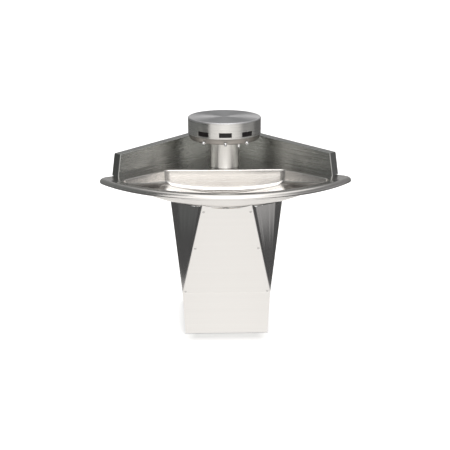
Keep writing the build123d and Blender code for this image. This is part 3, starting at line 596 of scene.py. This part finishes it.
def make_bowl():
    """One sheet: up from the drain inside, over the deck and the rim, and back down outside."""
    inside = basin_loops(0.0)
    outside = basin_loops(SHEET)
    for loop in outside[:UNDER_DECK_ROWS]:
        for point in loop:
            point.z -= SHEET
    flat = deck_loop(FLAT_INSET, DECK)
    crown = [RIM_RISE * share for share in rise_share(flat)]
    loops = list(reversed(inside))
    loops += [[a.lerp(b, t) for a, b in zip(inside[0], flat)] for t in (0.04, 0.5, 1.0)]
    for k in range(1, RISE_STEPS + 1):
        t = k / RISE_STEPS
        loops.append(deck_loop(FLAT_INSET + (RIM_W - FLAT_INSET) * t, [DECK + c * smooth(t) for c in crown]))
    loops += roll_loops(crown)
    loops.append(deck_loop(FLAT_INSET, DECK - SHEET))
    loops += outside
    loft("bowl_shell", loops, "root", ["bowl"], sharp=45.0)


# ------------------------------------------------------------------ sprayhead

def head_point(angle, radius, z):
    a = radians(angle)
    return Vector((radius * sin(a), HEAD_Y - radius * cos(a), z))


def make_head_shell():
    """Drum wall as a grid of inner and outer faces with the window openings left out."""
    edges = set()
    for angle in STATIONS.values():
        edges |= {angle - WINDOW_HALF, angle + WINDOW_HALF}
    steps = sorted(edges | {a * 2.0 for a in range(-90, 90)
                            if all(abs(a * 2.0 - e) > 0.8 for e in edges)})
    heights = [HEAD_WALL, WINDOW_LOW, WINDOW_HIGH, HEAD_WALL_TOP]
    radii = (HEAD_R, HEAD_R - HEAD_SHEET)
    vertices, faces = [], []
    across, up = len(steps), len(heights)
    for radius in radii:
        for z in heights:
            vertices += [head_point(a, radius, z) for a in steps]

    def at(layer, row, column):
        return (layer * up + row) * across + column % across

    def is_window(row, column):
        if row != 1:
            return False
        middle = (steps[column] + (steps[column + 1] if column + 1 < across else steps[0] + 360)) / 2
        return any(abs(middle - a) < WINDOW_HALF for a in STATIONS.values())

    for row in range(up - 1):
        for column in range(across):
            if is_window(row, column):
                continue
            for layer in (0, 1):
                faces.append((at(layer, row, column), at(layer, row, column + 1),
                              at(layer, row + 1, column + 1), at(layer, row + 1, column)))
            for beside in (-1, 1):
                if is_window(row, (column + beside) % across):
                    c = column + (1 if beside > 0 else 0)
                    faces.append((at(0, row, c), at(0, row + 1, c), at(1, row + 1, c), at(1, row, c)))
            for line, other in ((row, row - 1), (row + 1, row + 1)):
                outer_edge = line in (0, up - 1) and other in (-1, up - 1)
                if outer_edge or is_window(other, column):
                    faces.append((at(0, line, column), at(0, line, column + 1),
                                  at(1, line, column + 1), at(1, line, column)))
    shell = make_object("head_shell_visual", vertices, faces, "root", ["head_shell"],
                        place=(0, HEAD_Y, 0))
    soften(shell, 0.0006, 2, 50.0)


def make_head_lid():
    r, top, low = HEAD_R, HEAD_TOP, HEAD_WALL_TOP + LID_GAP
    profile = [(r, low)] + arc_section((r - LID_ROLL, top - LID_ROLL), LID_ROLL, LID_ROLL, 0, 90, 10)
    profile += [(r * f, top) for f in (0.9, 0.7, 0.5, 0.3, 0.1, 0.0)]
    profile += [(0.0, low), (r - LID_LIP, low)]
    lathe("head_lid_visual", profile, (0, HEAD_Y, 0), "lid", ["head_lid"], turns=192,
          place=(0, HEAD_Y, 0), sharp=50.0)


def make_head_base():
    """Rounded lower ring, with a small step where it meets the drum wall."""
    low, high = HEAD_BASE, HEAD_WALL
    bore, floor_edge = COLUMN_R - 0.001, HEAD_LOW_R - 0.016
    start, lower = Vector((floor_edge, 0, low)), Vector((HEAD_LOW_R + 0.004, 0, low))
    upper = Vector((HEAD_R - 0.006, 0, low + (high - low) * 0.42))
    end = Vector((HEAD_R - 0.0012, 0, high - 0.001))
    middle = (lower + upper) / 2
    rings = [(bore, low + 0.0015), (floor_edge, low)]
    rings += [(p.x, p.z) for p in curve_points(start, lower, middle, 8)[1:]]
    rings += [(p.x, p.z) for p in curve_points(middle, upper, end, 10)[1:]]
    rings += [(HEAD_R - 0.004, high), (bore, high)]
    ring = lathe("head_base_visual", rings, (0, HEAD_Y, 0), "root", ["head_base"], turns=192,
                 place=(0, HEAD_Y, 0), sharp=40.0)
    # The ring takes the dark steel copy, which is painted shade under the drum.
    ring.data.materials[0] = SHADED_RING_STEEL


def make_column():
    """Tube with small weld fillets where it meets the deck and the head."""
    r = COLUMN_R
    foot = [(r + 0.0035, DECK), (r + 0.0016, DECK + 0.0008), (r + 0.0004, DECK + 0.0022), (r, DECK + 0.004)]
    top = [(r, HEAD_BASE - 0.003), (r + 0.0006, HEAD_BASE - 0.0012), (r + 0.0022, HEAD_BASE)]
    inner = [(r - HEAD_SHEET, HEAD_BASE), (r - HEAD_SHEET, DECK)]
    lathe("column_visual", foot + top + inner, (0, HEAD_Y, 0), "root", ["column"], turns=144,
          place=(0, HEAD_Y, 0), sharp=60.0)


def nozzle_axis(angle):
    tilt, a = radians(NOZZLE_DOWN), radians(angle)
    direction = Vector((sin(a) * cos(tilt), -cos(a) * cos(tilt), -sin(tilt)))
    return head_point(angle, NOZZLE_RING_R, HEAD_BASE + NOZZLE_LIFT), direction


def make_nozzle(station, angle):
    """Turned spray outlet: rounded collar, waist and lipped mouth."""
    point, direction = nozzle_axis(angle)
    profile = [(0.0030, -0.022), (0.0060, -0.022), (0.0060, 0.0010), (0.0098, 0.0012)]
    profile += arc_section((0.0093, 0.0028), 0.0014, 0.0016, -80, 80, 6)
    profile += [(0.0086, 0.0046), (0.0080, 0.0062), (0.0080, 0.0108)]
    profile += arc_section((0.0077, 0.0119), 0.0011, 0.0011, -60, 90, 6)
    profile += [(0.0068, 0.0128), (0.0068, 0.0046), (0.0030, 0.0040)]
    lathe(f"spray_nozzle_{station}_visual", profile, point, "root", [f"spray_nozzle_{station}"],
          turns=48, direction=direction)


def make_soap_spout():
    low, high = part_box("soap_spout")
    x, y = (low.x + high.x) / 2, (low.y + high.y) / 2
    z = HEAD_BASE
    profile = [(0.0030, z + 0.022), (0.0060, z + 0.022), (0.0060, z), (0.0104, z)]
    profile += arc_section((0.0094, z - 0.0022), 0.0016, 0.0020, 60, -80, 6)
    profile += [(0.0078, z - 0.0050), (0.0074, z - 0.0140)]
    profile += arc_section((0.0060, z - 0.0155), 0.0014, 0.0015, 0, -90, 5)
    profile += [(0.0030, z - 0.0170)]
    lathe("soap_spout_visual", profile, (x, y, 0), "root", ["soap_spout"], turns=48)


# ------------------------------------------------------------------ folded sheet

def make_backsplash(node):
    """Folded upstand with a rounded fold round its front face and end."""
    thing = dressed(node, FOLD_ROUND, segments=4)
    fold = thing.modifiers["edges"]
    fold.limit_method = "WEIGHT"
    fold.use_clamp_overlap = False
    mesh = thing.data
    weights = mesh.attributes.new("bevel_weight_edge", "FLOAT", "EDGE")
    for edge in mesh.edges:
        ends = [mesh.vertices[v].co for v in edge.vertices]
        off_wall = [(CORNER - abs(p.x) - p.y) / ROOT2 for p in ends]
        on_face = min(off_wall) > SPLASH_T - 0.0003
        at_foot = max(p.z for p in ends) < DECK + 0.001
        at_mitre = max(abs(p.x) for p in ends) < 0.001
        at_end = all(p.z > DECK + SPLASH_H_END - 0.0005 and abs(p.x) * ROOT2 + o > SPLASH_TOP_END - 0.001
                     for p, o in zip(ends, off_wall))
        if (on_face and not at_foot and not at_mitre) or at_end:
            weights.data[edge.index].value = 1.0
    # The end faces take the dark steel copy as painted shade.
    mesh.materials.append(SHADED_END_STEEL)
    for face in mesh.polygons:
        along = [abs(mesh.vertices[v].co.x) * ROOT2 for v in face.vertices]
        if min(along) > SPLASH_TOP_END - SPLASH_T - 0.001:
            face.material_index = 1


# ------------------------------------------------------------------ stage

def ranged(nodes, value, low, high):
    node = nodes.add("ShaderNodeMapRange")
    node.inputs["From Min"].default_value = low
    node.inputs["From Max"].default_value = high
    nodes.link(value, node.inputs["Value"])
    return node.outputs["Result"]


def banded(nodes, value, low, high, stops, interpolation="EASE"):
    """Colour ramp over low..high; stops are (value, colour)."""
    node = nodes.add("ShaderNodeValToRGB")
    elements = node.color_ramp.elements
    node.color_ramp.interpolation = interpolation
    elements.remove(elements[-1])
    elements[0].position = (stops[0][0] - low) / (high - low)
    elements[0].color = (*stops[0][1], 1)
    for stop, colour in stops[1:]:
        elements.new((stop - low) / (high - low)).color = (*colour, 1)
    nodes.link(ranged(nodes, value, low, high), node.inputs["Fac"])
    return node.outputs["Color"]


def mixed(nodes, first, second, factor=None, blend="MULTIPLY"):
    node = nodes.add("ShaderNodeMix", data_type="RGBA", blend_type=blend)
    node.inputs["Factor"].default_value = 1.0
    if factor is not None:
        nodes.link(factor, node.inputs["Factor"])
    nodes.link(first, node.inputs[COLOUR_A])
    nodes.link(second, node.inputs[COLOUR_B])
    return node.outputs[COLOUR_OUT]


def bearing(nodes, x, y):
    """Degrees round the part, 0 towards the user and positive to the right."""
    back = nodes.add("ShaderNodeMath", operation="MULTIPLY", in_1=-1.0)
    nodes.link(y, back.inputs[0])
    turn = nodes.add("ShaderNodeMath", operation="ARCTAN2")
    nodes.link(x, turn.inputs[0])
    nodes.link(back.outputs[0], turn.inputs[1])
    degrees = nodes.add("ShaderNodeMath", operation="DEGREES")
    nodes.link(turn.outputs[0], degrees.inputs[0])
    return degrees.outputs[0]


def grey(value, tint=(1.0, 1.0, 1.0)):
    return tuple(value * t for t in tint)


COOL = (0.97, 1.0, 0.98)
WARM_LIGHT = (1.0, 0.985, 0.965)
# What the steel reflects, by bearing: a wide soft light in front, dim walls at the sides.
FRONT = [(-52, grey(0.13, COOL)), (-47, grey(1.20, WARM_LIGHT)), (-20, grey(1.35, WARM_LIGHT)),
         (30, grey(1.30, WARM_LIGHT)), (43, grey(1.05, WARM_LIGHT))]
ROOM = ([(-180, grey(0.37)), (-146, grey(0.27, COOL)), (-90, grey(0.18, COOL))] + FRONT
        + [(60, grey(0.28)), (94, grey(0.24)), (146, grey(0.26)), (180, grey(0.37))])
GROUND = ([(-180, grey(0.16)), (-90, grey(0.24, COOL))] + FRONT
          + [(60, grey(0.42)), (94, grey(0.48)), (112, grey(0.17)), (180, grey(0.16))])
# The same overhead, by the X of the direction.
OVERHEAD = [(-1, grey(0.2)), (-0.42, grey(0.25)), (-0.15, grey(1.35, WARM_LIGHT)),
            (0.35, grey(1.35, WARM_LIGHT)), (0.62, grey(0.5)), (1, grey(0.3))]
# Factor on ROOM by the Z of the direction.
HEIGHT = [(-1.0, grey(0.6)), (-0.25, grey(0.9)), (0.1, grey(1.0)), (1.0, grey(0.95))]
# The floor as the steel sees it close to the part, by distance from the middle line, and where the
# bearings take over.
NEAR_FLOOR = [(0, grey(1.12, WARM_LIGHT)), (0.62, grey(1.05, WARM_LIGHT)),
              (0.86, grey(0.13)), (4, grey(0.12))]
NEAR_END, FAR_START = 2.7, 3.1


def stage_plane(name, height):
    h = FLOOR_SIZE / 2
    corners = [(x, FLOOR_Y + y, height) for x, y in ((-h, -h), (h, -h), (h, h), (-h, h))]
    mesh = bpy.data.meshes.new(name)
    mesh.from_pydata(corners, [], [(0, 1, 2, 3)])
    plane = bpy.data.objects.new(name, mesh)
    bpy.context.scene.collection.objects.link(plane)
    return plane


def vector_math(nodes, operation, source, constant=None):
    node = nodes.add("ShaderNodeVectorMath", operation=operation)
    if constant is not None:
        node.inputs[1].default_value = constant
    nodes.link(source, node.inputs[0])
    return node.outputs["Value" if operation == "LENGTH" else "Vector"]


def make_floor():
    """Pale seamless floor. A soft dark patch round the pedestal's foot is painted on, not cast."""
    floor = stage_plane("floor", 0.0)
    material, nodes, shader = new_material("floor")
    place = nodes.add("ShaderNodeTexCoord")
    cloud = nodes.add("ShaderNodeTexNoise", in_Scale=3.0, in_Detail=3.0)
    nodes.link(place.outputs["Object"], cloud.inputs["Vector"])
    tone = colour_mix(nodes, cloud.outputs["Fac"], (0.80, 0.80, 0.795), (0.82, 0.82, 0.815))
    shader.inputs["Roughness"].default_value = 0.8
    shader.inputs["Emission Color"].default_value = (1, 1, 1, 1)
    offset = vector_math(nodes, "SUBTRACT", place.outputs["Object"], (0, FOOT_Y, 0))
    spread = vector_math(nodes, "ABSOLUTE", offset)
    beyond = vector_math(nodes, "SUBTRACT", spread, (FOOT_HALF_X, FOOT_HALF_Y, 0))
    outside = vector_math(nodes, "MAXIMUM", beyond, (0, 0, 0))
    gap = vector_math(nodes, "LENGTH", outside)
    glow = nodes.add("ShaderNodeMapRange", interpolation_type="SMOOTHSTEP", in_From_Min=SHADE_START,
                     in_From_Max=SHADE_END, in_To_Min=GLOW_LOW, in_To_Max=GLOW_HIGH)
    nodes.link(gap, glow.inputs["Value"])
    nodes.link(glow.outputs["Result"], shader.inputs["Emission Strength"])
    darkening = [(0.0, grey(0.6)), (0.7, grey(1.0))]
    shade = banded(nodes, glow.outputs["Result"], 0.0, GLOW_HIGH, darkening, "LINEAR")
    nodes.link(mixed(nodes, tone, shade), shader.inputs["Base Color"])
    floor.data.materials.append(material)
    floor.visible_glossy = False


def make_reflected_floor():
    """Plane under the floor with its own brightness, which the steel reflects in the floor's place."""
    mirror = stage_plane("floor_reflected", -0.002)
    material = bpy.data.materials.new("floor_reflected")
    material.use_nodes = True
    nodes = Nodes(material.node_tree)
    place = nodes.add("ShaderNodeTexCoord")
    split = nodes.add("ShaderNodeSeparateXYZ")
    nodes.link(place.outputs["Object"], split.inputs[0])
    x, y = split.outputs["X"], split.outputs["Y"]
    far = banded(nodes, bearing(nodes, x, y), -180, 180, GROUND)
    side = nodes.add("ShaderNodeMath", operation="ABSOLUTE")
    nodes.link(x, side.inputs[0])
    near = banded(nodes, side.outputs[0], 0, 4, NEAR_FLOOR)
    reach = vector_math(nodes, "LENGTH", place.outputs["Object"])
    far_share = ranged(nodes, reach, NEAR_END, FAR_START)
    light = nodes.add("ShaderNodeEmission", in_Strength=1.0)
    nodes.link(mixed(nodes, near, far, far_share, "MIX"), light.inputs["Color"])
    out = nodes.add("ShaderNodeOutputMaterial")
    nodes.link(light.outputs[0], out.inputs["Surface"])
    mirror.data.materials.append(material)
    mirror.visible_camera = False
    mirror.visible_diffuse = False
    mirror.visible_shadow = False


def make_world():
    """The camera sees white; everything else sees a room bright in front and darker at the sides."""
    world = bpy.data.worlds.new("studio")
    bpy.context.scene.world = world
    world.use_nodes = True
    nodes = Nodes(world.node_tree)
    place = nodes.add("ShaderNodeTexCoord")
    split = nodes.add("ShaderNodeSeparateXYZ")
    nodes.link(place.outputs["Generated"], split.inputs[0])
    around = banded(nodes, bearing(nodes, split.outputs["X"], split.outputs["Y"]), -180, 180, ROOM)
    level = banded(nodes, split.outputs["Z"], -1, 1, HEIGHT)
    overhead = banded(nodes, split.outputs["X"], -1, 1, OVERHEAD)
    top_share = ranged(nodes, split.outputs["Z"], 0.68, 0.79)
    room = mixed(nodes, mixed(nodes, around, level), overhead, top_share, "MIX")
    studio = nodes.add("ShaderNodeBackground", in_Strength=1.0)
    nodes.link(room, studio.inputs["Color"])
    white = nodes.add("ShaderNodeBackground", in_Color=(1, 1, 1, 1), in_Strength=1.0)
    path = nodes.add("ShaderNodeLightPath")
    choose = nodes.add("ShaderNodeMixShader")
    nodes.link(path.outputs["Is Camera Ray"], choose.inputs["Fac"])
    nodes.link(studio.outputs[0], choose.inputs[1])
    nodes.link(white.outputs[0], choose.inputs[2])
    out = nodes.add("ShaderNodeOutputWorld")
    nodes.link(choose.outputs[0], out.inputs["Surface"])


def area_light(name, place, target, size, power):
    data = bpy.data.lights.new(name, "AREA")
    data.shape = "RECTANGLE"
    data.size, data.size_y = size
    data.energy = power
    light = bpy.data.objects.new(name, data)
    light.location = place
    light.rotation_euler = (Vector(target) - Vector(place)).to_track_quat("-Z", "Y").to_euler()
    bpy.context.scene.collection.objects.link(light)


def make_camera():
    """Standing view from in front, a little left of the middle."""
    data = bpy.data.cameras.new("camera")
    data.sensor_width = 36.0
    data.lens = 76.7
    data.clip_end = 200.0
    camera = bpy.data.objects.new("camera", data)
    bpy.context.scene.collection.objects.link(camera)
    turn, pitch = 0.0268, 0.2986
    ahead = Vector((sin(turn) * cos(pitch), cos(turn) * cos(pitch), -sin(pitch)))
    camera.location = (-0.1392, -5.1790, 2.1334)
    camera.rotation_euler = ahead.to_track_quat("-Z", "Y").to_euler()
    bpy.context.scene.camera = camera


# ------------------------------------------------------------------ build

make_bowl()
make_head_shell()
make_head_lid()
make_head_base()
make_column()
make_soap_spout()
for station, angle in STATIONS.items():
    make_nozzle(station, angle)

make_backsplash("backsplash_left")
make_backsplash("backsplash_right")

# Rounded or broken edges for the parts that keep their own shape.
EDGE_WIDTHS = {
    0.0009: ["side_panel_left", "side_panel_right", "access_panel", "kick_panel"],
    0.0008: ["wall_bracket_left", "wall_bracket_right", "pedestal_frame", "equipment_plate", "soap_tank",
             "control_box", "control_cover", "wall_collars"],
    0.0005: ["panel_screws", "panel_nuts", "soap_cap", "soap_pump", "stop_handle_hot", "stop_handle_cold",
             "stop_valve_hot", "stop_valve_cold", "valve_manifold", "solenoid_bodies", "solenoid_coils",
             "mixing_valve", "mixing_knob", "trap_slip_nuts", "drain_nut", "column_clamp_ring"],
}
for width, group in EDGE_WIDTHS.items():
    for node in group:
        dressed(node, width, segments=2)

# The CAD pieces that nothing replaces.
for node, thing in frame["nodes"].items():
    if not thing.hide_render:
        thing.data.materials.clear()
        thing.data.materials.append(SLOT_MATERIALS[NODE_SLOT[node]])

make_floor()
make_reflected_floor()
make_world()
area_light("front_soft", (0.4, -4.0, 2.8), (0, -0.2, 0.8), (2.4, 1.4), 24)
area_light("top_soft", (0.0, -1.6, 3.6), (0, -0.2, 0.6), (2.2, 1.6), 12)
make_camera()
bpy.context.scene.view_settings.view_transform = "Standard"
